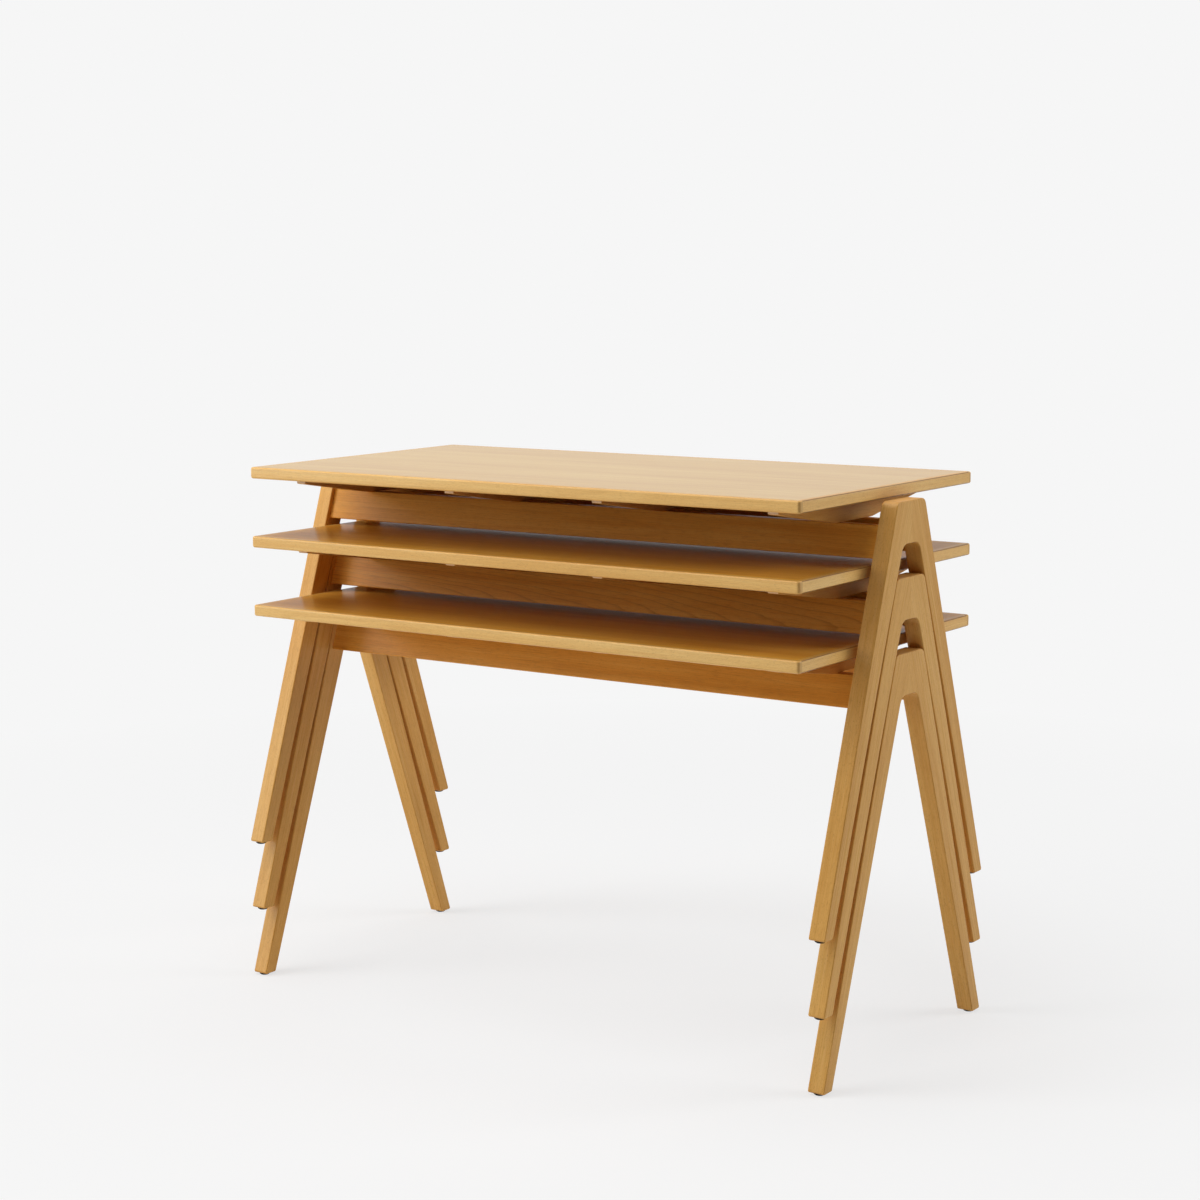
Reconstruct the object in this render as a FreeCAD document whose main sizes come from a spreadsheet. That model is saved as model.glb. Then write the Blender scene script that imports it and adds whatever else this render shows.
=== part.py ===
import FreeCAD, Part
import os
from enum import IntEnum

import Sketcher
from FreeCAD import Placement, Rotation, Vector

# Three identical stacking tables, nested in one pile. X runs along the tables, Y from front (-) to
# back (+), Z up, and the origin is on the floor under the middle of the pile. A table is a lipped top
# on four tapered bearers, two sloping rails under the bearers, and an A-shaped frame at each end.
# Each frame is two legs glued along its vertical middle, so the next table's frame slips over it.

# Driving sizes in millimetres, each set by itself.
SIZES = {
    # Tabletop and its solid-wood lipping
    "table_height": 720,
    "top_length": 1171,
    "top_depth": 602,
    "top_thickness": 21,
    "lipping_width": 10,
    "lipping_radius": 3.5,
    "corner_radius": 5.5,
    # Rounded edge of legs and rails
    "arris_radius": 2,
    # End frames: the gap is left between the top's end and the frame, the drop between their tops
    "frame_thickness": 31,
    "frame_gap": 9.2,
    "frame_drop": 1.5,
    "apex_width": 96,
    "apex_radius": 14,
    "head_depth": 72.5,
    "crotch_width": 55.3,
    "crotch_radius": 20,
    "foot_spread": 568,
    "foot_width": 28.5,
    "foot_radius": 3.5,
    # Sloping rails, set back from the legs' outer edges
    "rail_depth": 54.5,
    "rail_thickness": 20,
    "rail_inset": 8.2,
    # Bearers under the top, deepest where they cross the rails
    "bearer_width": 21,
    "bearer_depth": 41,
    "bearer_end_depth": 10.5,
    "bearer_inset": 51,
    "bearer_overrun": 11,
    "bearer_end_gap": 79.5,
    "bearer_spacing": 318,
    "bearer_blend_radius": 60,
    "bearer_end_radius": 3,
    "bearer_arris": 1.5,
    # Dowels
    "dowel_diameter": 8,
    "dowel_length": 40,
    # Screws up through the bearers: the seat is the wood held by the head, the cover the wood
    # left over the tip, the inset is from the bearer's end
    "screw_diameter": 4,
    "screw_head_diameter": 8,
    "screw_head_height": 2.5,
    "screw_seat": 10,
    "screw_cover": 7,
    "screw_inset": 60,
    # Glides under the feet
    "glide_height": 4,
    "glide_diameter": 20,
    "glide_bevel": 2,
    "glide_rim": 2.5,
    "pin_diameter": 4,
    "pin_length": 14,
    # Fits: round pieces in their holes, spare depth past their ends, and table on table
    "fit_clearance": 0.1,
    "hole_relief": 0.5,
    "nest_clearance": 0.3,
}

# Sizes that follow from the driving ones. Outer and inner are a leg's outer and inner edges, a slope
# is an edge's run in Y over its drop in Z, and a length here is that edge's length over its drop.
DERIVED = {
    "half_length": "sizes.top_length / 2",
    "half_depth": "sizes.top_depth / 2",
    "underside": "sizes.table_height - sizes.top_thickness",
    "lipping_end": "half_depth - sizes.lipping_width",
    "lipping_arris": "min(sizes.lipping_radius; 0.9 * sizes.corner_radius)",
    "inner_x": "half_length + sizes.frame_gap",
    "middle_x": "inner_x + sizes.frame_thickness / 2",
    "frame_top": "underside - sizes.frame_drop",
    "crotch_z": "frame_top - sizes.head_depth",
    "half_apex": "sizes.apex_width / 2",
    "half_crotch": "sizes.crotch_width / 2",
    "foot_outer": "sizes.foot_spread / 2",
    "foot_inner": "foot_outer - sizes.foot_width",
    "foot_middle": "foot_outer - sizes.foot_width / 2",
    "leg_arris": "min(sizes.arris_radius; 0.75 * sizes.foot_radius)",
    "outer_slope": "(foot_outer - half_apex) / (frame_top - sizes.glide_height)",
    "outer_length": "sqrt(1 + outer_slope ^ 2)",
    "inner_slope": "(foot_inner - half_crotch) / (crotch_z - sizes.glide_height)",
    "inner_length": "sqrt(1 + inner_slope ^ 2)",
    "apex_arc_y": "half_apex - sizes.apex_radius * (outer_length - outer_slope)",
    "apex_arc_z": "frame_top - sizes.apex_radius",
    "apex_dowel_high": "crotch_z + sizes.head_depth * 2 / 3",
    "apex_dowel_low": "crotch_z + sizes.head_depth / 3",
    "rail_top": "underside - sizes.bearer_depth",
    "rail_bottom": "rail_top - sizes.rail_depth",
    "rail_setback": "sizes.rail_inset * outer_length",
    "rail_run": "sizes.rail_thickness * outer_length",
    "rail_top_y": "half_apex + outer_slope * (frame_top - rail_top) - rail_setback",
    "rail_bottom_y": "rail_top_y + outer_slope * sizes.rail_depth",
    "rail_dowel_high": "rail_top - sizes.rail_depth / 4",
    "rail_dowel_high_y": "rail_top_y + outer_slope * sizes.rail_depth / 4 - rail_run / 2",
    "rail_dowel_low": "rail_top - sizes.rail_depth * 3 / 4",
    "rail_dowel_low_y": "rail_top_y + outer_slope * sizes.rail_depth * 3 / 4 - rail_run / 2",
    "bearer_end_y": "half_depth - sizes.bearer_inset",
    "bearer_end_z": "underside - sizes.bearer_end_depth",
    "bearer_flat_y": "rail_top_y + sizes.bearer_overrun",
    "bearer_outer_x": "half_length - sizes.bearer_end_gap",
    "bearer_inner_x": "sizes.bearer_spacing / 2",
    "bearer_dowel_y": "rail_top_y + outer_slope * sizes.dowel_length / 4 - rail_run / 2",
    "dowel_hole": "sizes.dowel_diameter + 2 * sizes.fit_clearance",
    "dowel_hole_depth": "sizes.dowel_length / 2 + sizes.hole_relief",
    "screw_y": "bearer_end_y - sizes.screw_inset",
    "screw_seat_z": "underside - sizes.screw_seat",
    "screw_head_z": "screw_seat_z - sizes.screw_head_height",
    "screw_bite": "sizes.top_thickness - sizes.screw_cover",
    "screw_length": "underside + screw_bite - screw_head_z",
    "screw_hole": "sizes.screw_diameter + 2 * sizes.fit_clearance",
    "screw_head_hole": "sizes.screw_head_diameter + 2 * sizes.fit_clearance",
    "pin_hole": "sizes.pin_diameter + 2 * sizes.fit_clearance",
    "pin_hole_depth": "sizes.pin_length + sizes.hole_relief",
    # The pile rises by whichever meets first: leg on apex, foot on leg, rail on top or crotch on apex
    "apex_reach": "(sizes.apex_radius + sizes.nest_clearance) * inner_length + apex_arc_y - half_crotch",
    "apex_pitch": "apex_reach / inner_slope + apex_arc_z - crotch_z",
    "foot_reach": "foot_inner - sizes.nest_clearance * outer_length - half_apex",
    "foot_pitch": "frame_top - sizes.glide_height - foot_reach / outer_slope",
    "rail_pitch": "sizes.table_height - rail_bottom + sizes.nest_clearance",
    "head_pitch": "sizes.head_depth + sizes.nest_clearance",
    "stack_pitch": "max(apex_pitch; foot_pitch; rail_pitch; head_pitch)",
}

# Prefix of a table's pieces, and the height of its feet over the floor.
TABLES = {
    "lower": "0",
    "middle": "derived.stack_pitch",
    "upper": "2 * derived.stack_pitch",
}

# Turns about Z that carry a piece made on the back of a table to its other sides.
BACK, LEFT, FRONT, RIGHT = 0, 90, 180, 270

TOLERANCE = 1e-4

# Numbers by which a sketch knows its axes, and the points of a line or circle. Its origin is the
# start of its X axis.
Axis = IntEnum("Axis", "Y X", start=-2)
Point = IntEnum("Point", "START END CENTRE")

doc = FreeCAD.newDocument("stacking_tables")
sheet = doc.addObject("Spreadsheet::Sheet", "sizes")
for row, (alias, size) in enumerate(SIZES.items(), start=1):
    sheet.set(f"A{row}", str(size))
    sheet.setAlias(f"A{row}", alias)
doc.recompute()

derived = doc.addObject("App::VarSet", "derived")
for name, formula in DERIVED.items():
    derived.addProperty("App::PropertyFloat", name, "derived")
    derived.setExpression(name, formula)
    doc.recompute()


def value(formula):
    """The number that a formula of sheet and derived sizes gives."""
    return float(sheet.evalExpression(formula))


def new_body(label, level, turn=BACK):
    """An empty piece, turned about Z and raised to its table's level."""
    body = doc.addObject("PartDesign::Body", label)
    body.Label = label
    body.Placement = Placement(Vector(0, 0, value(level)), Rotation(Vector(0, 0, 1), turn))
    body.setExpression("Placement.Base.z", level)
    return body


def new_sketch(body, name, plane, offset="0"):
    """A sketch parallel to one of the piece's own planes, moved along that plane's normal."""
    sketch = body.newObject("Sketcher::SketchObject", f"{body.Name}_{name}")
    support = next(item for item in body.Origin.OriginFeatures if item.Role == plane)
    sketch.AttachmentSupport = [(support, "")]
    sketch.MapMode = "FlatFace"
    sketch.AttachmentOffset = Placement(Vector(0, 0, value(offset)), Rotation())
    sketch.setExpression("AttachmentOffset.Base.z", offset)
    return sketch


def pin(sketch, item, point, across, along):
    """Ties a point of a sketch to its two distances from the sketch's origin."""
    if across == "0":
        sketch.addConstraint(Sketcher.Constraint("PointOnObject", item, point, Axis.Y))
    else:
        rule = Sketcher.Constraint("DistanceX", Axis.X, Point.START, item, point, value(across))
        sketch.setExpression(f"Constraints[{sketch.addConstraint(rule)}]", across)
    if along == "0":
        sketch.addConstraint(Sketcher.Constraint("PointOnObject", item, point, Axis.X))
    else:
        rule = Sketcher.Constraint("DistanceY", Axis.X, Point.START, item, point, value(along))
        sketch.setExpression(f"Constraints[{sketch.addConstraint(rule)}]", along)


def draw_outline(sketch, corners):
    """A closed outline of straight lines through corners given as pairs of formulas."""
    places = [Vector(value(across), value(along), 0) for across, along in corners]
    count = len(corners)
    for index in range(count):
        sketch.addGeometry(Part.LineSegment(places[index], places[(index + 1) % count]))
    for index in range(count):
        after = (index + 1) % count
        sketch.addConstraint(Sketcher.Constraint("Coincident", index, Point.END, after, Point.START))
    for index, (across, along) in enumerate(corners):
        pin(sketch, index, Point.START, across, along)


def mirrored(corners):
    """The other half of an outline that is symmetric about its upright axis."""
    return [(f"-{across}", along) for across, along in reversed(corners)]


def draw_circles(sketch, centres, diameter):
    """Equal circles at centres given as pairs of formulas."""
    for across, along in centres:
        place = Vector(value(across), value(along), 0)
        item = sketch.addGeometry(Part.Circle(place, Vector(0, 0, 1), value(diameter) / 2))
        rule = sketch.addConstraint(Sketcher.Constraint("Diameter", item, value(diameter)))
        sketch.setExpression(f"Constraints[{rule}]", diameter)
        pin(sketch, item, Point.CENTRE, across, along)


def pad(body, sketch, length, side="One side", reverse=False):
    """Thickens a sketch into the piece's first solid."""
    feature = body.newObject("PartDesign::Pad", f"{sketch.Name}_pad")
    feature.Profile = sketch
    feature.SideType = side
    feature.Reversed = reverse
    feature.setExpression("Length", length)
    body.recompute(True)
    return feature


def drill(body, name, plane, offset, centres, diameter, depth=None, reverse=False):
    """Drills equal holes from a plane, against its normal or, reversed, along it."""
    before = body.Shape.Volume
    sketch = new_sketch(body, name, plane, offset)
    draw_circles(sketch, centres, diameter)
    feature = body.newObject("PartDesign::Pocket", f"{sketch.Name}_hole")
    feature.Profile = sketch
    feature.Reversed = reverse
    if depth is None:
        feature.Type = "ThroughAll"
    else:
        feature.setExpression("Length", depth)
    body.recompute(True)
    if body.Shape.Volume >= before - TOLERANCE:
        raise RuntimeError(f"{feature.Name} cuts nothing")
    return feature


def round_edges(body, base, name, radius, wanted):
    """Rounds the edges of a piece's last feature that the test picks out."""
    names = [f"Edge{index}" for index, edge in enumerate(base.Shape.Edges, start=1) if wanted(edge)]
    if not names:
        raise RuntimeError(f"{body.Name}: no edge for {name}")
    feature = body.newObject("PartDesign::Fillet", f"{body.Name}_{name}")
    feature.Base = (base, names)
    feature.setExpression("Radius", radius)
    body.recompute(True)
    return feature


def near(number, formula):
    return abs(number - value(formula)) < TOLERANCE


def middle_of(edge):
    return edge.valueAt((edge.FirstParameter + edge.LastParameter) / 2)


def along_x(edge):
    box = edge.BoundBox
    return box.YLength < TOLERANCE and box.ZLength < TOLERANCE


def corner_at(across, along):
    """Picks the edge that runs along X through a point of the YZ outline."""
    def wanted(edge):
        place = middle_of(edge)
        return along_x(edge) and near(place.y, across) and near(place.z, along)
    return wanted


def any_of(tests):
    return lambda edge: any(test(edge) for test in tests)


def flat_in_x(edge):
    return edge.BoundBox.XLength < TOLERANCE


def is_level(edge):
    return edge.BoundBox.ZLength < TOLERANCE


def add_top_panel(table, level):
    """The veneered board inside the lippings, with blind holes for the screws."""
    body = new_body(f"{table}_top_panel", level)
    right = "(derived.half_length - sizes.lipping_width)"
    back = "(derived.half_depth - sizes.lipping_width)"
    outline = new_sketch(body, "outline", "XY_Plane", "derived.underside")
    front_corners = [(f"-{right}", f"-{back}"), (right, f"-{back}")]
    draw_outline(outline, front_corners + [(right, back), (f"-{right}", back)])
    pad(body, outline, "sizes.top_thickness")
    drill(body, "screw_holes", "XY_Plane", "derived.underside", screw_places(), "derived.screw_hole",
          "derived.screw_bite + sizes.hole_relief", reverse=True)
    return body


def add_lipping(table, level, side, turn, half_run, half_reach, runs_past):
    """One edge strip of the top, its outer edges rounded. The long ones run past the short ones' ends."""
    body = new_body(f"{table}_{side}_lipping", level, turn)
    glued = f"({half_reach} - sizes.lipping_width)"
    outline = new_sketch(body, "outline", "XY_Plane", "derived.underside")
    right_end = [(half_run, glued), (half_run, half_reach)]
    draw_outline(outline, right_end + mirrored(right_end))
    base = pad(body, outline, "sizes.top_thickness")

    def corner(edge):
        return not is_level(edge) and near(middle_of(edge).y, half_reach)

    def outer(edge):
        exposed = runs_past or not flat_in_x(edge)
        return is_level(edge) and exposed and not near(middle_of(edge).y, glued)

    if runs_past:
        base = round_edges(body, base, "corner", "sizes.corner_radius", corner)
    round_edges(body, base, "arris", "derived.lipping_arris", outer)
    return body


def bearer_places():
    """The middles of the four bearers along X, with the names of their bearers."""
    return {
        "outer_left": "-derived.bearer_outer_x",
        "inner_left": "-derived.bearer_inner_x",
        "inner_right": "derived.bearer_inner_x",
        "outer_right": "derived.bearer_outer_x",
    }


def screw_places():
    """The screws' places in plan: two to a bearer."""
    return [(x, y) for x in bearer_places().values() for y in ("-derived.screw_y", "derived.screw_y")]


def add_bearer(table, level, name, x):
    """A tapered batten from front to back under the top, doweled to both rails."""
    body = new_body(f"{table}_{name}_bearer", level)
    outline = new_sketch(body, "outline", "YZ_Plane", x)
    half = [("derived.bearer_end_y", "derived.underside"), ("derived.bearer_end_y", "derived.bearer_end_z"),
            ("derived.bearer_flat_y", "derived.rail_top")]
    draw_outline(outline, half + mirrored(half))
    base = pad(body, outline, "sizes.bearer_width", side="Symmetric")
    ends = [corner_at(f"{sign}derived.bearer_end_y", "derived.bearer_end_z") for sign in ("", "-")]
    bends = [corner_at(f"{sign}derived.bearer_flat_y", "derived.rail_top") for sign in ("", "-")]
    base = round_edges(body, base, "blend", "sizes.bearer_blend_radius", any_of(bends))
    base = round_edges(body, base, "end", "sizes.bearer_end_radius", any_of(ends))

    def lower_arris(edge):
        return flat_in_x(edge) and not near(middle_of(edge).z, "derived.underside")

    round_edges(body, base, "arris", "sizes.bearer_arris", lower_arris)
    screws = [(x, "-derived.screw_y"), (x, "derived.screw_y")]
    dowels = [(x, "-derived.bearer_dowel_y"), (x, "derived.bearer_dowel_y")]
    drill(body, "screw_holes", "XY_Plane", "derived.underside", screws, "derived.screw_hole")
    drill(body, "head_holes", "XY_Plane", "derived.screw_seat_z", screws, "derived.screw_head_hole")
    drill(body, "dowel_holes", "XY_Plane", "derived.rail_top", dowels, "derived.dowel_hole",
          "derived.dowel_hole_depth", reverse=True)
    return body


def rail_dowel_places():
    """Where a rail's end dowels sit in its end face."""
    return [("derived.rail_dowel_high_y", "derived.rail_dowel_high"),
            ("derived.rail_dowel_low_y", "derived.rail_dowel_low")]


def add_rail(table, level, side, turn):
    """A board between the frames that slopes with the legs' outer edges, level on top and below."""
    body = new_body(f"{table}_{side}_rail", level, turn)
    outline = new_sketch(body, "outline", "YZ_Plane")
    draw_outline(outline, [
        ("derived.rail_top_y", "derived.rail_top"),
        ("derived.rail_bottom_y", "derived.rail_bottom"),
        ("(derived.rail_bottom_y - derived.rail_run)", "derived.rail_bottom"),
        ("(derived.rail_top_y - derived.rail_run)", "derived.rail_top"),
    ])
    base = pad(body, outline, "2 * derived.inner_x", side="Symmetric")
    round_edges(body, base, "arris", "sizes.arris_radius", along_x)
    for end, offset, reverse in (("left", "-derived.inner_x", True), ("right", "derived.inner_x", False)):
        drill(body, f"{end}_dowel_holes", "YZ_Plane", offset, rail_dowel_places(), "derived.dowel_hole",
              "derived.dowel_hole_depth", reverse)
    crossings = [(x, "derived.bearer_dowel_y") for x in bearer_places().values()]
    drill(body, "bearer_dowel_holes", "XY_Plane", "derived.rail_top", crossings, "derived.dowel_hole",
          "derived.dowel_hole_depth")
    return body


def add_leg(table, level, name, turn, reverse):
    """Half of an end frame: a tapered leg that carries half of the frame's head."""
    body = new_body(f"{table}_{name}_leg", level, turn)
    inner_face = "-derived.inner_x" if reverse else "derived.inner_x"
    outline = new_sketch(body, "outline", "YZ_Plane", inner_face)
    apex = ("derived.half_apex", "derived.frame_top")
    crotch = ("derived.half_crotch", "derived.crotch_z")
    feet = [("derived.foot_outer", "sizes.glide_height"), ("derived.foot_inner", "sizes.glide_height")]
    draw_outline(outline, [("0", "derived.frame_top"), apex, *feet, crotch, ("0", "derived.crotch_z")])
    base = pad(body, outline, "sizes.frame_thickness", reverse=reverse)
    base = round_edges(body, base, "apex", "sizes.apex_radius", corner_at(*apex))
    base = round_edges(body, base, "crotch", "sizes.crotch_radius", corner_at(*crotch))
    foot_corners = any_of([corner_at(*foot) for foot in feet])
    base = round_edges(body, base, "foot", "sizes.foot_radius", foot_corners)

    def face_arris(edge):
        return flat_in_x(edge) and edge.BoundBox.YMax > TOLERANCE

    round_edges(body, base, "arris", "derived.leg_arris", face_arris)
    middle = "-derived.middle_x" if reverse else "derived.middle_x"
    drill(body, "rail_dowel_holes", "YZ_Plane", inner_face, rail_dowel_places(), "derived.dowel_hole",
          "derived.dowel_hole_depth", reverse=not reverse)
    drill(body, "apex_dowel_holes", "XZ_Plane", "0", [(middle, z) for z in apex_dowel_heights()],
          "derived.dowel_hole", "derived.dowel_hole_depth")
    drill(body, "pin_hole", "XY_Plane", "sizes.glide_height", [(middle, "derived.foot_middle")],
          "derived.pin_hole", "derived.pin_hole_depth", reverse=True)
    return body


def apex_dowel_heights():
    return ["derived.apex_dowel_high", "derived.apex_dowel_low"]


def new_cylinder(name, diameter, length, base, axis="Z"):
    """A round bar from a base point along an axis, all given as formulas."""
    bar = doc.addObject("Part::Cylinder", name)
    bar.setExpression("Radius", f"{diameter} / 2")
    bar.setExpression("Height", length)
    directions = {"X": Vector(1, 0, 0), "Y": Vector(0, 1, 0), "Z": Vector(0, 0, 1)}
    bar.Placement = Placement(Vector(), Rotation(Vector(0, 0, 1), directions[axis]))
    for letter, formula in zip("xyz", base):
        bar.setExpression(f"Placement.Base.{letter}", formula)
    return bar


def new_group(label, level, members):
    """Like pieces of one table, kept as separate solids under one name."""
    group = doc.addObject("Part::Compound", label)
    group.Label = label
    group.Links = members
    group.Placement = Placement(Vector(0, 0, value(level)), Rotation())
    group.setExpression("Placement.Base.z", level)
    return group


def add_dowels(table, level, name, axis, centres):
    """Equal dowels along one axis, each half in one piece and half in the other."""
    bars = []
    for number, centre in enumerate(centres, start=1):
        base = dict(zip("XYZ", centre))
        base[axis] = f"{base[axis]} - sizes.dowel_length / 2"
        bars.append(new_cylinder(f"{table}_{name}_{number}", "sizes.dowel_diameter", "sizes.dowel_length",
                                 base.values(), axis))
    return new_group(f"{table}_{name}", level, bars)


def rail_dowel_centres():
    return [(f"{end}derived.inner_x", f"{side}{y}", z)
            for end in ("-", "") for side in ("-", "") for y, z in rail_dowel_places()]


def bearer_dowel_centres():
    return [(x, f"{side}derived.bearer_dowel_y", "derived.rail_top")
            for x in bearer_places().values() for side in ("-", "")]


def apex_dowel_centres():
    return [(f"{end}derived.middle_x", "0", z) for end in ("-", "") for z in apex_dowel_heights()]


def add_screws(table, level):
    """Screws sunk in the bearers' undersides that hold the top down."""
    screws = []
    for number, (x, y) in enumerate(screw_places(), start=1):
        name = f"{table}_screw_{number}"
        base = (x, y, "derived.screw_head_z")
        screw = doc.addObject("Part::Fuse", name)
        head = ("sizes.screw_head_diameter", "sizes.screw_head_height")
        shank = ("sizes.screw_diameter", "derived.screw_length")
        screw.Base = new_cylinder(f"{name}_head", *head, base)
        screw.Tool = new_cylinder(f"{name}_shank", *shank, base)
        screws.append(screw)
    return new_group(f"{table}_top_screws", level, screws)


def foot_places():
    """The middles of the four feet in plan."""
    signs = ("-", "")
    return [(f"{end}derived.middle_x", f"{side}derived.foot_middle") for end in signs for side in signs]


def add_glides(table, level):
    """A pad with a bevelled rim under each foot, held by a pin in the leg."""
    glides = []
    plate_height = "sizes.glide_height - sizes.glide_bevel"
    for number, (x, y) in enumerate(foot_places(), start=1):
        name = f"{table}_glide_{number}"
        rim = doc.addObject("Part::Cone", f"{name}_rim")
        rim.setExpression("Radius1", "sizes.glide_diameter / 2 - sizes.glide_rim")
        rim.setExpression("Radius2", "sizes.glide_diameter / 2")
        rim.setExpression("Height", "sizes.glide_bevel")
        rim.setExpression("Placement.Base.x", x)
        rim.setExpression("Placement.Base.y", y)
        base = (x, y, "sizes.glide_bevel")
        plate = new_cylinder(f"{name}_plate", "sizes.glide_diameter", plate_height, base)
        nail = new_cylinder(f"{name}_pin", "sizes.pin_diameter", f"sizes.pin_length + {plate_height}", base)
        glide = doc.addObject("Part::MultiFuse", name)
        glide.Shapes = [rim, plate, nail]
        glides.append(glide)
    return new_group(f"{table}_glides", level, glides)


def add_table(table, level):
    """All the pieces of one table."""
    pieces = [add_top_panel(table, level)]
    for side, turn in (("back", BACK), ("front", FRONT)):
        run, reach = "derived.half_length", "derived.half_depth"
        pieces.append(add_lipping(table, level, side, turn, run, reach, runs_past=True))
        pieces.append(add_rail(table, level, side, turn))
    for side, turn in (("left", LEFT), ("right", RIGHT)):
        run, reach = "derived.lipping_end", "derived.half_length"
        pieces.append(add_lipping(table, level, side, turn, run, reach, runs_past=False))
    for name, x in bearer_places().items():
        pieces.append(add_bearer(table, level, name, x))
    pieces.append(add_leg(table, level, "right_back", BACK, reverse=False))
    pieces.append(add_leg(table, level, "left_front", FRONT, reverse=False))
    pieces.append(add_leg(table, level, "left_back", BACK, reverse=True))
    pieces.append(add_leg(table, level, "right_front", FRONT, reverse=True))
    pieces.append(add_dowels(table, level, "rail_dowels", "X", rail_dowel_centres()))
    pieces.append(add_dowels(table, level, "apex_dowels", "Y", apex_dowel_centres()))
    pieces.append(add_dowels(table, level, "bearer_dowels", "Z", bearer_dowel_centres()))
    pieces.append(add_screws(table, level))
    pieces.append(add_glides(table, level))
    return pieces


pieces = [piece for table, level in TABLES.items() for piece in add_table(table, level)]
doc.recompute()

for item in doc.Objects:
    if "Invalid" in item.State or "Error" in item.State:
        raise RuntimeError(f"{item.Name} is {item.State}")
for piece in pieces:
    if piece.Shape.isNull() or not piece.Shape.isValid():
        raise RuntimeError(f"{piece.Label} has no valid shape")

os.makedirs("parts", exist_ok=True)
for piece in pieces:
    piece.Shape.exportStep(f"parts/{piece.Label}.step")
print(f"{len(pieces)} pieces, stack pitch {derived.stack_pitch:.2f} mm")
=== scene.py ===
import math
import random
from dataclasses import dataclass, replace

import bpy
from mathutils import Matrix, Vector


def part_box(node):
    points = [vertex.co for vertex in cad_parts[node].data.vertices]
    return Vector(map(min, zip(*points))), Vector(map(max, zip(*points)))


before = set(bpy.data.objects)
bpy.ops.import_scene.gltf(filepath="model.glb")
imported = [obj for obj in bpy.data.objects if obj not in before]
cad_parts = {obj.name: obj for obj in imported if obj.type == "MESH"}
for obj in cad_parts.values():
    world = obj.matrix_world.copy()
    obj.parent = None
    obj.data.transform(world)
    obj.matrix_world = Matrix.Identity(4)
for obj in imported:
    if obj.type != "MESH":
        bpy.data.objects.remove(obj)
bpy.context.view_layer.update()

X_AXIS = Vector((1, 0, 0))
Y_AXIS = Vector((0, 1, 0))
Z_AXIS = Vector((0, 0, 1))

scene = bpy.context.scene
scene.view_settings.view_transform = "Standard"


def linear(red, green, blue):
    """A colour written as 0 to 255 screen values, as the shader takes it."""
    def one(level):
        share = level / 255
        return share / 12.92 if share <= 0.04045 else ((share + 0.055) / 1.055) ** 2.4
    return (one(red), one(green), one(blue), 1.0)


def grey(level):
    """A grey of one level, as the shader takes it."""
    return (level, level, level, 1.0)


def join(tree, socket, item):
    """Links a socket to another one, or sets it to a plain value."""
    if isinstance(item, bpy.types.NodeSocket):
        tree.links.new(item, socket)
    else:
        socket.default_value = item


def add(tree, kind, inputs=None, **settings):
    """A node with its settings, and its inputs set or linked."""
    node = tree.nodes.new(kind)
    for name, setting in settings.items():
        setattr(node, name, setting)
    for name, item in (inputs or {}).items():
        join(tree, node.inputs[name], item)
    return node


def feed(tree, shader, **items):
    """Sets or links the shader's inputs, named with underscores for spaces."""
    for name, item in items.items():
        join(tree, shader.inputs[name.replace("_", " ")], item)


def object_place(tree):
    """Where a point lies in its object, in metres."""
    return add(tree, "ShaderNodeTexCoord").outputs["Object"]


def parts_of(tree, vector):
    """The X, Y and Z of a vector."""
    return add(tree, "ShaderNodeSeparateXYZ", {"Vector": vector}).outputs


def math_node(tree, operation, first, second):
    """One step of arithmetic on two values."""
    return add(tree, "ShaderNodeMath", {0: first, 1: second}, operation=operation).outputs[0]


def mapping(tree, vector, location=(0, 0, 0), rotation=(0, 0, 0), scale=(1, 1, 1)):
    """A place that is scaled, then turned, then moved."""
    inputs = {"Vector": vector, "Location": location, "Rotation": rotation, "Scale": scale}
    return add(tree, "ShaderNodeMapping", inputs).outputs["Vector"]


def noise(tree, vector, detail):
    """Soft noise, about 0.5 on average."""
    inputs = {"Vector": vector, "Scale": 1.0, "Detail": detail, "Roughness": 0.5}
    return add(tree, "ShaderNodeTexNoise", inputs).outputs["Fac"]


def shaped(tree, value, start, stop, low=0.0, high=1.0):
    """A value that goes from low to high while the input goes from start to stop."""
    inputs = {"Value": value, "From Min": start, "From Max": stop, "To Min": low, "To Max": high}
    return add(tree, "ShaderNodeMapRange", inputs).outputs[0]


def ramp(tree, factor, stops):
    """A colour ramp through (place, colour) stops."""
    node = add(tree, "ShaderNodeValToRGB", {"Fac": factor})
    elements = node.color_ramp.elements
    while len(elements) < len(stops):
        elements.new(0.5)
    for element, (place, colour) in zip(elements, stops):
        element.position = place
        element.color = colour
    return node.outputs["Color"]


# Numbers of the Mix node's sockets when it mixes colours.
MIX_FACTOR, MIX_FIRST, MIX_SECOND, MIX_RESULT = 0, 6, 7, 2


def blend(tree, factor, first, second, mode="MIX"):
    """The first colour, turned into the second or multiplied by it as far as the factor says."""
    inputs = {MIX_FACTOR: factor, MIX_FIRST: first, MIX_SECOND: second}
    node = add(tree, "ShaderNodeMix", inputs, data_type="RGBA", blend_type=mode)
    return node.outputs[MIX_RESULT]


def empty_tree(owner):
    """The node tree of a material or world, with nothing in it."""
    owner.use_nodes = True
    owner.node_tree.nodes.clear()
    return owner.node_tree


def new_material(name):
    """A material, its node tree and its shader, which is joined to the output."""
    material = bpy.data.materials.new(name)
    tree = empty_tree(material)
    shader = add(tree, "ShaderNodeBsdfPrincipled")
    add(tree, "ShaderNodeOutputMaterial", {"Surface": shader.outputs[0]})
    return material, tree, shader


# Height of the relief that bump draws at a strength of 1, in metres.
RELIEF_HEIGHT = 0.0001


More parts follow.
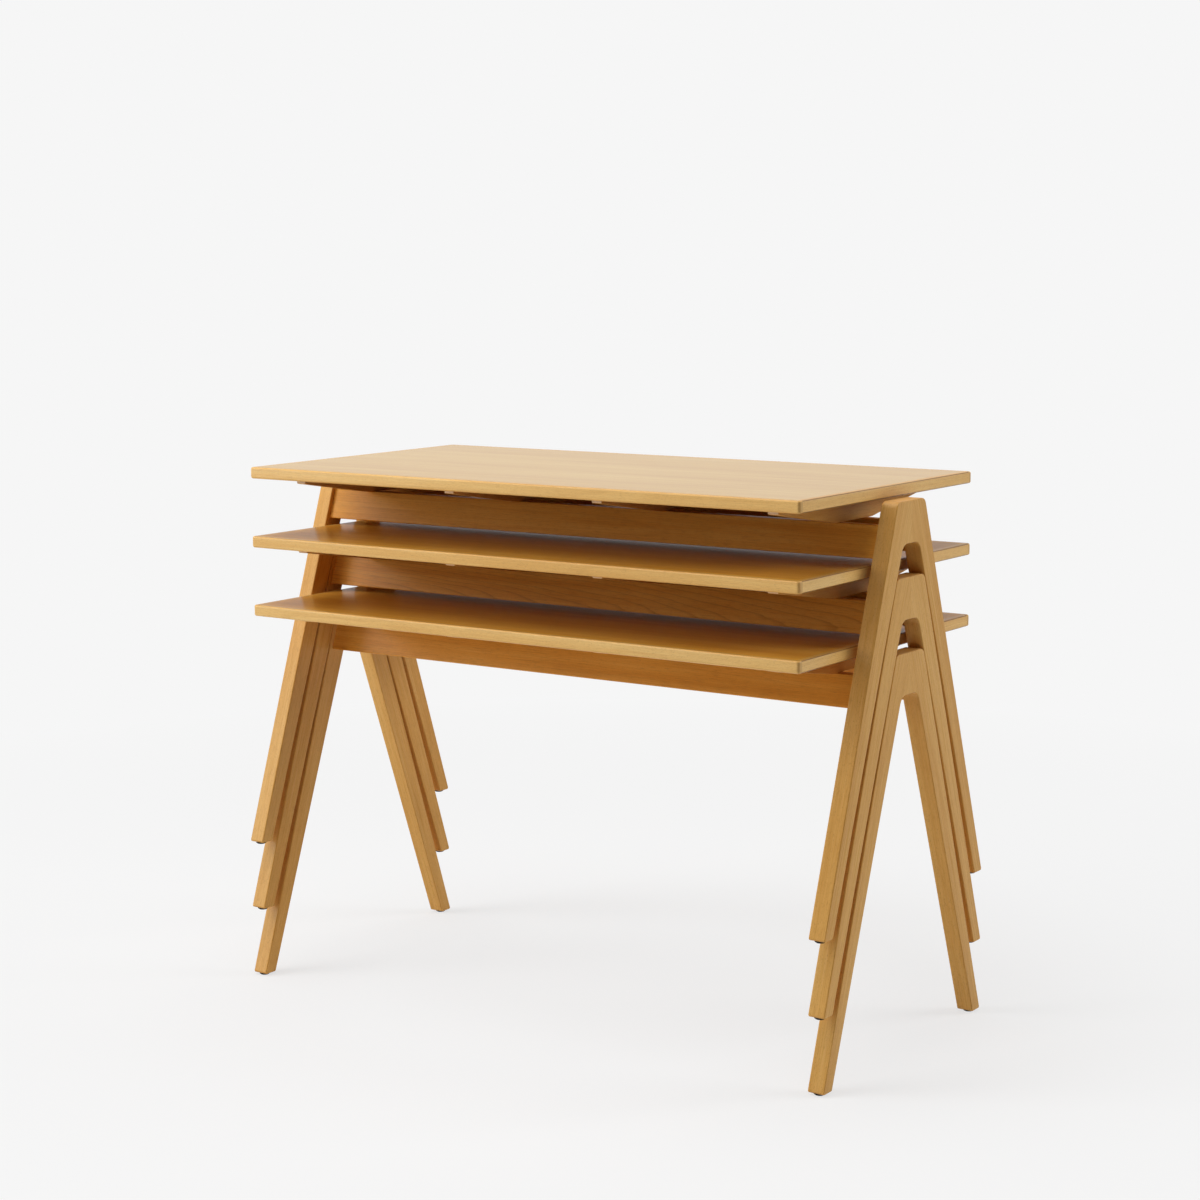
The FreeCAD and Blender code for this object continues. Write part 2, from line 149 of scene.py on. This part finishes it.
def relief(tree, strength, height):
    """The surface's direction with a fine relief in it."""
    inputs = {"Strength": strength, "Distance": RELIEF_HEIGHT, "Height": height}
    return add(tree, "ShaderNodeBump", inputs).outputs[0]


FLECK_BEECH = linear(150, 96, 44)
JOINT_LINE = linear(140, 84, 30)

# Tints that multiply the wood's colour: on rounded edges, darker on the end lippings' edges,
# on lippings that the veneer runs over, and a painted shade on the underside of the tops.
WORN_EDGE_TINT = (1.0, 0.95, 0.85, 1.0)
DARK_EDGE_TINT = (0.38, 0.28, 0.20, 1.0)
VENEERED_TINT = (0.73, 0.63, 0.36, 1.0)
# Painted shade: darkens the underside of the tops, where shade falls between the stacked tables.
UNDERSIDE_SHADE_TINT = (0.80, 0.55, 0.30, 1.0)
NO_TINT = (1.0, 1.0, 1.0, 1.0)


@dataclass
class Beech:
    """One cut of beech: its colours, its growth rings and its finish, with lengths in metres."""
    light: tuple
    middle: tuple
    dark: tuple
    ring: tuple
    end_grain: tuple
    ring_width: float
    ring_strength: float
    heart_depth: float  # from the middle of the piece back to the middle of the tree
    heart_side: float  # from the middle of the piece sideways to the middle of the tree
    slant: float  # how far the tree's axis leans against the face, in radians
    roughness: float
    relief: float
    sheen: float  # specular level of the wood itself
    lacquer: float = 0.0  # weight of the clear coat over it
    edge_tint: tuple = WORN_EDGE_TINT
    # A painted shade on the side facing away from the face: on the tops, their underside.
    back_shade_tint: tuple = NO_TINT
    top_tint: tuple = NO_TINT


VENEER = Beech(
    light=linear(221, 165, 70), middle=linear(213, 152, 56), dark=linear(204, 140, 45),
    ring=linear(184, 132, 64), end_grain=linear(170, 120, 60),
    ring_width=0.009, ring_strength=0.10, heart_depth=0.10, heart_side=0.02, slant=0.004,
    roughness=0.30, relief=0.02, sheen=0.02, lacquer=0.17, back_shade_tint=UNDERSIDE_SHADE_TINT)
# Painted light: the top table's veneer is paler, as it gets less warm bounced light than the tops
# below.
LIT_TOP_VENEER = replace(
    VENEER, light=linear(205, 167, 86), middle=linear(198, 156, 75), dark=linear(191, 146, 65),
    lacquer=0.48)
LIPPING = Beech(
    light=linear(240, 199, 127), middle=linear(235, 189, 114), dark=linear(226, 175, 98),
    ring=linear(190, 136, 66), end_grain=linear(208, 164, 100),
    ring_width=0.006, ring_strength=0.14, heart_depth=0.12, heart_side=0.02, slant=0.006,
    roughness=0.34, relief=0.12, sheen=0.15, lacquer=0.18, top_tint=VENEERED_TINT)
# The end lippings, darker on their rounded edges.
END_LIPPING = replace(LIPPING, edge_tint=DARK_EDGE_TINT)
LEG = Beech(
    light=linear(226, 177, 102), middle=linear(220, 168, 91), dark=linear(212, 157, 80),
    ring=linear(180, 121, 50), end_grain=linear(200, 148, 80),
    ring_width=0.008, ring_strength=0.10, heart_depth=0.14, heart_side=0.03, slant=0.010,
    roughness=0.24, relief=0.15, sheen=0.12)
RAIL = Beech(
    light=linear(231, 170, 78), middle=linear(223, 157, 64), dark=linear(210, 141, 51),
    ring=linear(150, 92, 32), end_grain=linear(172, 116, 52),
    ring_width=0.006, ring_strength=0.12, heart_depth=0.12, heart_side=0.02, slant=0.010,
    roughness=0.26, relief=0.15, sheen=0.12)
FLAT_SAWN_RAIL = replace(RAIL, ring_strength=0.40, heart_depth=0.06, heart_side=0.045, slant=0.09)
BEARER = Beech(
    light=linear(227, 178, 105), middle=linear(219, 166, 90), dark=linear(208, 151, 74),
    ring=linear(180, 121, 50), end_grain=linear(238, 206, 168),
    ring_width=0.008, ring_strength=0.12, heart_depth=0.08, heart_side=0.02, slant=0.020,
    roughness=0.40, relief=0.15, sheen=0.1)

# The wave texture's rings are this far apart at a scale of 1, in metres.
WAVE_PERIOD = 0.314
# Along the tree the rings change only this many times as fast as across it.
RING_STRETCH = 0.12
# How the rings waver.
RING_WAVER = {"Distortion": 9.0, "Detail": 3.0, "Detail Scale": 0.4, "Detail Roughness": 0.4}
# Between what shares of its stated slant and heart a piece may be cut, and from what ring on.
SLANT_SHARES = (0.7, 1.0)
HEART_SHARES = (0.8, 1.2)
PHASES = (0, 6)
# How dark a growth ring is from its early wood to its late wood.
RING_PROFILE = [(0.0, grey(0.0)), (0.75, grey(0.06)), (0.95, grey(1.0)), (1.0, grey(0.0))]

# The patterns of noise in the wood: how often each changes in a metre along the grain, across it
# and through the face, and how many finer layers it has.
FIBRES = {"scale": (9, 900, 900), "detail": 4.0}
STREAKS = {"scale": (1.2, 70, 70), "detail": 3.0}
CLOUDS = {"scale": (2.0, 14, 14), "detail": 2.0}
PORES = {"scale": (55, 800, 800), "detail": 1.0}
FLECKS = {"scale": (260, 1900, 800), "detail": 1.0}
# How far a piece's noise may be shifted either way, in the noise's own units.
NOISE_REACH = 50

# The parts of the noise that show as pores and as ray flecks.
PORE_STOPS = [(0.56, grey(0.0)), (0.66, grey(1.0))]
FLECK_STOPS = [(0.60, grey(0.0)), (0.72, grey(1.0))]

# Sum of fibres, streaks and clouds where the wood is darkest and lightest,
# how far it differs from piece to piece, and where the three colours lie between the two.
TONE_DARKEST = 1.05
TONE_LIGHTEST = 1.95
SHADE_REACH = 0.05
DARK_PLACE, MIDDLE_PLACE, LIGHT_PLACE = 0.15, 0.50, 0.85

# How much of each layer shows in the colour.
PORE_STRENGTH = 0.22
FLECK_STRENGTH = 0.35
END_GRAIN_STRENGTH = 0.85
JOINT_STRENGTH = 0.25

# How the finish changes: rougher on the fibres and the end grain, smoother on the edges.
FIBRE_ROUGHENING = 1.3
END_ROUGHENING = 0.15
EDGE_POLISH = 0.1
FINISH_IOR = 1.5
LACQUER_ROUGHNESS = 0.13

# Where each mask starts and where it is full, by the parts of the surface's direction.
TOP_LIMITS = (0.90, 0.98)
# The back mask carries the painted shade on the underside of the tops.
SHADED_BACK_LIMITS = (-0.5, -0.9)
END_LIMITS = (0.6, 0.9)
EDGE_LIMITS = (0.97, 0.80)
CORNER_LIMITS = (0.38, 0.48)


@dataclass
class Masks:
    """Where a piece shows its ends, rounded edges, the turn from face to end, its back and top."""
    end: bpy.types.NodeSocket
    edge: bpy.types.NodeSocket
    corner: bpy.types.NodeSocket
    # The back, where the tops take a painted shade.
    back: bpy.types.NodeSocket
    top: bpy.types.NodeSocket


def facing_masks(tree, turn):
    """Masks from the way the surface faces, for a piece with its grain turned like this."""
    normal = add(tree, "ShaderNodeTexCoord").outputs["Normal"]
    inputs = {"Vector": normal, "Rotation": turn}
    facing = add(tree, "ShaderNodeMapping", inputs, vector_type="VECTOR").outputs[0]
    unsigned = add(tree, "ShaderNodeVectorMath", {0: facing}, operation="ABSOLUTE").outputs[0]
    parts = parts_of(tree, unsigned)
    across = math_node(tree, "MAXIMUM", parts["Y"], parts["Z"])
    squarest = math_node(tree, "MAXIMUM", parts["X"], across)
    face_to_end = math_node(tree, "MULTIPLY", parts["X"], parts["Z"])
    return Masks(
        end=shaped(tree, parts["X"], *END_LIMITS),
        edge=shaped(tree, squarest, *EDGE_LIMITS),
        corner=shaped(tree, face_to_end, *CORNER_LIMITS),
        back=shaped(tree, parts_of(tree, facing)["Z"], *SHADED_BACK_LIMITS),
        top=shaped(tree, parts_of(tree, normal)["Z"], *TOP_LIMITS))


def late_wood(tree, along, cut, chance):
    """The dark lines of the growth rings, round a tree's axis behind the face."""
    lean = (0, -cut.slant * chance.uniform(*SLANT_SHARES), 0)
    heart_side = cut.heart_side * chance.uniform(*HEART_SHARES)
    heart_depth = cut.heart_depth * chance.uniform(*HEART_SHARES)
    axis = mapping(tree, along, location=(0, heart_side, heart_depth), rotation=lean)
    rings = add(tree, "ShaderNodeTexWave", {
        "Vector": mapping(tree, axis, scale=(RING_STRETCH, 1, 1)),
        "Scale": WAVE_PERIOD / cut.ring_width,
        "Phase Offset": chance.uniform(*PHASES),
        **RING_WAVER,
    }, wave_type="RINGS", rings_direction="X", wave_profile="SAW").outputs["Fac"]
    return ramp(tree, rings, RING_PROFILE)


def wood(name, middle, grain, face, cut):
    """Satin-finished beech: growth rings, fibres and ray flecks along the grain of one piece."""
    chance = random.Random(name)
    material, tree, shader = new_material(name)
    grain_frame = Matrix((grain, face.cross(grain), face))
    turn = grain_frame.to_euler()
    along = mapping(tree, object_place(tree), location=-(grain_frame @ middle), rotation=turn)

    def streaky(scale, detail):
        shift = [chance.uniform(-NOISE_REACH, NOISE_REACH) for _ in range(3)]
        return noise(tree, mapping(tree, along, location=shift, scale=scale), detail)

    late = late_wood(tree, along, cut, chance)
    fibres = streaky(**FIBRES)
    streaks = streaky(**STREAKS)
    clouds = streaky(**CLOUDS)
    pores = ramp(tree, streaky(**PORES), PORE_STOPS)
    flecks = ramp(tree, streaky(**FLECKS), FLECK_STOPS)
    shade = chance.uniform(-SHADE_REACH, SHADE_REACH)
    masks = facing_masks(tree, turn)

    def layer(under, mask, strength, over):
        return blend(tree, math_node(tree, "MULTIPLY", mask, strength), under, over)

    tone = math_node(tree, "ADD", fibres, math_node(tree, "ADD", streaks, clouds))
    tone = shaped(tree, tone, TONE_DARKEST + shade, TONE_LIGHTEST + shade)
    colour = ramp(tree, tone, [
        (DARK_PLACE, cut.dark), (MIDDLE_PLACE, cut.middle), (LIGHT_PLACE, cut.light)])
    colour = layer(colour, late, cut.ring_strength, cut.ring)
    colour = layer(colour, pores, PORE_STRENGTH, cut.ring)
    colour = layer(colour, flecks, FLECK_STRENGTH, FLECK_BEECH)
    colour = layer(colour, masks.end, END_GRAIN_STRENGTH, cut.end_grain)
    colour = blend(tree, masks.top, colour, cut.top_tint, "MULTIPLY")
    colour = blend(tree, masks.edge, colour, cut.edge_tint, "MULTIPLY")
    colour = layer(colour, masks.corner, JOINT_STRENGTH, JOINT_LINE)
    # Painted shade on the underside of the tops.
    colour = blend(tree, masks.back, colour, cut.back_shade_tint, "MULTIPLY")

    gloss = shaped(tree, fibres, 0, 1, cut.roughness, FIBRE_ROUGHENING * cut.roughness)
    dulled = shaped(tree, masks.end, 0, 1, 0.0, END_ROUGHENING)
    polished = shaped(tree, masks.edge, 0, 1, 0.0, EDGE_POLISH * cut.roughness)
    gloss = math_node(tree, "SUBTRACT", math_node(tree, "ADD", gloss, dulled), polished)
    bumps = relief(tree, cut.relief, math_node(tree, "SUBTRACT", fibres, flecks))
    feed(tree, shader, Base_Color=colour, Roughness=gloss, Normal=bumps)
    feed(tree, shader, IOR=FINISH_IOR, Specular_IOR_Level=cut.sheen)
    feed(tree, shader, Coat_Weight=cut.lacquer, Coat_Roughness=LACQUER_ROUGHNESS,
         Coat_IOR=FINISH_IOR)
    return material


# The parts of the noise at which a fine grain has its dark and its light colour.
GRAIN_DARK, GRAIN_LIGHT = 0.3, 0.7


def fine_grained(name, scale, detail, dark, light, gloss, strength, **finish):
    """A material with a fine, even grain in its colour, its gloss and its relief."""
    material, tree, shader = new_material(name)
    grain = noise(tree, mapping(tree, object_place(tree), scale=scale), detail)
    colour = ramp(tree, grain, [(GRAIN_DARK, dark), (GRAIN_LIGHT, light)])
    roughness = shaped(tree, grain, 0, 1, *gloss)
    bumps = relief(tree, strength, grain)
    feed(tree, shader, Base_Color=colour, Roughness=roughness, Normal=bumps, **finish)
    return material


def plastic(name):
    """Matt black moulded plastic."""
    return fine_grained(
        name, scale=(1500, 1500, 1500), detail=2.0, dark=linear(9, 9, 9), light=linear(20, 19, 18),
        gloss=(0.5, 0.65), strength=0.2, Specular_IOR_Level=0.15)


def steel(name):
    """Bright plated steel, lightly drawn along the shank."""
    return fine_grained(
        name, scale=(2500, 2500, 120), detail=3.0, dark=linear(176, 176, 172),
        light=linear(206, 206, 202), gloss=(0.25, 0.42), strength=0.1, Metallic=1.0)


LEG_SLOPE = math.radians(19.6)
RAIL_SLOPE = math.radians(18.8)


def grain_of(piece):
    """The directions of the grain and of the face across it for one piece's name."""
    back = 1 if "back" in piece else -1
    if piece.endswith("leg"):
        return Vector((0, back * math.sin(LEG_SLOPE), -math.cos(LEG_SLOPE))), X_AXIS
    if piece.endswith("rail"):
        return X_AXIS, Vector((0, back * math.cos(RAIL_SLOPE), math.sin(RAIL_SLOPE)))
    if piece.endswith("bearer") or piece in ("left_lipping", "right_lipping", "apex_dowels"):
        return Y_AXIS, X_AXIS
    if piece in ("front_lipping", "back_lipping"):
        return X_AXIS, Y_AXIS
    if piece == "bearer_dowels":
        return Z_AXIS, X_AXIS
    return X_AXIS, Z_AXIS


def cut_of(node):
    """Which cut of beech a piece is made of."""
    if node == "middle_front_rail":
        return FLAT_SAWN_RAIL
    if node == "upper_top_panel":
        return LIT_TOP_VENEER
    if node.endswith(("left_lipping", "right_lipping")):
        return END_LIPPING
    cuts = {"panel": VENEER, "lipping": LIPPING, "rail": RAIL, "bearer": BEARER}
    return cuts.get(node.rsplit("_", 1)[1], LEG)


def dress(node, item):
    """Gives a piece its own material."""
    piece = node.split("_", 1)[1]
    if piece == "glides":
        material = plastic(f"{node}_black")
    elif piece == "top_screws":
        material = steel(f"{node}_steel")
    else:
        low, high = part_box(node)
        middle = (Vector(low) + Vector(high)) / 2
        material = wood(f"{node}_beech", middle, *grain_of(piece), cut_of(node))
    item.data.materials.clear()
    item.data.materials.append(material)


BACKGROUND = grey(0.922)

FLOOR_SIZE = 80  # metres
# The floor lies this far under the feet, so that no two faces share a plane.
FLOOR_DROP = 0.0003
# The floor as it is seen, and as it throws light back at the tables.
FLOOR_PAPER = grey(0.94)
FLOOR_BOUNCE = grey(0.85)
# How much of the background's glow the floor has, by the distance from the middle of the tables.
# The last place is this many metres out: from there on, floor and background are one.
FLOOR_FADE_END = 3.0
FLOOR_FADE = [(0.0, grey(0.84)), (0.15, grey(0.82)), (0.21, grey(0.73)), (0.26, grey(0.73)),
              (0.40, grey(0.84)), (1.0, grey(1.0))]

# Strength of the even light from all round.
WORLD_LIGHT = 0.01
LAMP_AIM = Vector((0, 0, 0.6))

# The camera as solved from the photo: its place in metres, its turns in degrees,
# and its lens in millimetres, for a square frame as wide as the sensor.
CAMERA_PLACE = Vector((2.5445, -3.6559, 1.3783))
CAMERA_YAW = 34.9425
CAMERA_PITCH = -8.19
CAMERA_ROLL = -0.3772
CAMERA_LENS = 74.1055
SENSOR_WIDTH = 36.0
CAMERA_REACH = 200


def seen_directly(tree):
    """One for the rays that show the backdrop, zero for those that light the tables."""
    path = add(tree, "ShaderNodeLightPath").outputs
    seen = math_node(tree, "MAXIMUM", path["Is Camera Ray"], path["Is Glossy Ray"])
    return math_node(tree, "MAXIMUM", seen, path["Is Transmission Ray"])


def mix_shaders(tree, factor, first, second):
    """The first node's shader turned into the second's as far as the factor says."""
    return add(tree, "ShaderNodeMixShader", {0: factor, 1: first.outputs[0], 2: second.outputs[0]})


def add_floor():
    """A pale floor that keeps the soft shadow near the tables and fades into the background."""
    bpy.ops.mesh.primitive_plane_add(size=FLOOR_SIZE, location=(0, 0, -FLOOR_DROP))
    floor = bpy.context.object
    floor.name = "floor"
    material = bpy.data.materials.new("floor_paper")
    tree = empty_tree(material)
    seen = seen_directly(tree)
    shown = add(tree, "ShaderNodeBsdfDiffuse", {"Color": FLOOR_PAPER})
    bounced = add(tree, "ShaderNodeBsdfDiffuse", {"Color": FLOOR_BOUNCE})
    paper = mix_shaders(tree, seen, bounced, shown)
    length = add(tree, "ShaderNodeVectorMath", {0: object_place(tree)}, operation="LENGTH")
    far = math_node(tree, "DIVIDE", length.outputs["Value"], FLOOR_FADE_END)
    fade = math_node(tree, "MULTIPLY", seen, ramp(tree, far, FLOOR_FADE))
    glow = add(tree, "ShaderNodeEmission", {"Color": BACKGROUND, "Strength": 1.0})
    mixed = mix_shaders(tree, fade, paper, glow)
    add(tree, "ShaderNodeOutputMaterial", {"Surface": mixed.outputs[0]})
    floor.data.materials.append(material)


def add_world():
    """A pale backdrop, and an even light from all round at a much lower level."""
    scene.world = bpy.data.worlds.new("studio")
    tree = empty_tree(scene.world)
    light = add(tree, "ShaderNodeBackground", {"Color": grey(1.0), "Strength": WORLD_LIGHT})
    backdrop = add(tree, "ShaderNodeBackground", {"Color": BACKGROUND, "Strength": 1.0})
    mixed = mix_shaders(tree, seen_directly(tree), light, backdrop)
    add(tree, "ShaderNodeOutputWorld", {"Surface": mixed.outputs[0]})


def add_softbox(name, place, size, power):
    """A square soft light at a place, turned to the tables."""
    lamp = bpy.data.lights.new(name, "AREA")
    lamp.shape = "SQUARE"
    lamp.size = size
    lamp.energy = power
    item = bpy.data.objects.new(name, lamp)
    item.location = place
    item.rotation_euler = (LAMP_AIM - Vector(place)).to_track_quat("-Z", "Y").to_euler()
    scene.collection.objects.link(item)


def add_camera():
    """The photo's camera."""
    yaw, pitch, roll = (math.radians(turn) for turn in (CAMERA_YAW, CAMERA_PITCH, CAMERA_ROLL))
    ahead = math.cos(pitch)
    forward = Vector((-math.sin(yaw) * ahead, math.cos(yaw) * ahead, math.sin(pitch)))
    level = Vector((math.cos(yaw), math.sin(yaw), 0))
    upright = level.cross(forward)
    right = math.cos(roll) * level + math.sin(roll) * upright
    up = math.cos(roll) * upright - math.sin(roll) * level
    turn = Matrix((right, up, -forward)).transposed()
    lens = bpy.data.cameras.new("camera")
    lens.lens = CAMERA_LENS
    lens.sensor_fit = "HORIZONTAL"
    lens.sensor_width = SENSOR_WIDTH
    lens.clip_end = CAMERA_REACH
    camera = bpy.data.objects.new("camera", lens)
    camera.matrix_world = Matrix.LocRotScale(CAMERA_PLACE, turn, None)
    scene.collection.objects.link(camera)
    scene.camera = camera


for node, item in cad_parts.items():
    dress(node, item)
add_floor()
add_world()
add_softbox("left_low", place=(-5.6, -4.6, 1.8), size=3.0, power=163)
add_softbox("left_high", place=(-3.4, -3.6, 4.4), size=3.0, power=136)
add_softbox("overhead", place=(-0.5, -0.4, 5.0), size=3.6, power=150)
add_softbox("rim", place=(4.6, 3.2, 3.2), size=3.0, power=158)
add_camera()
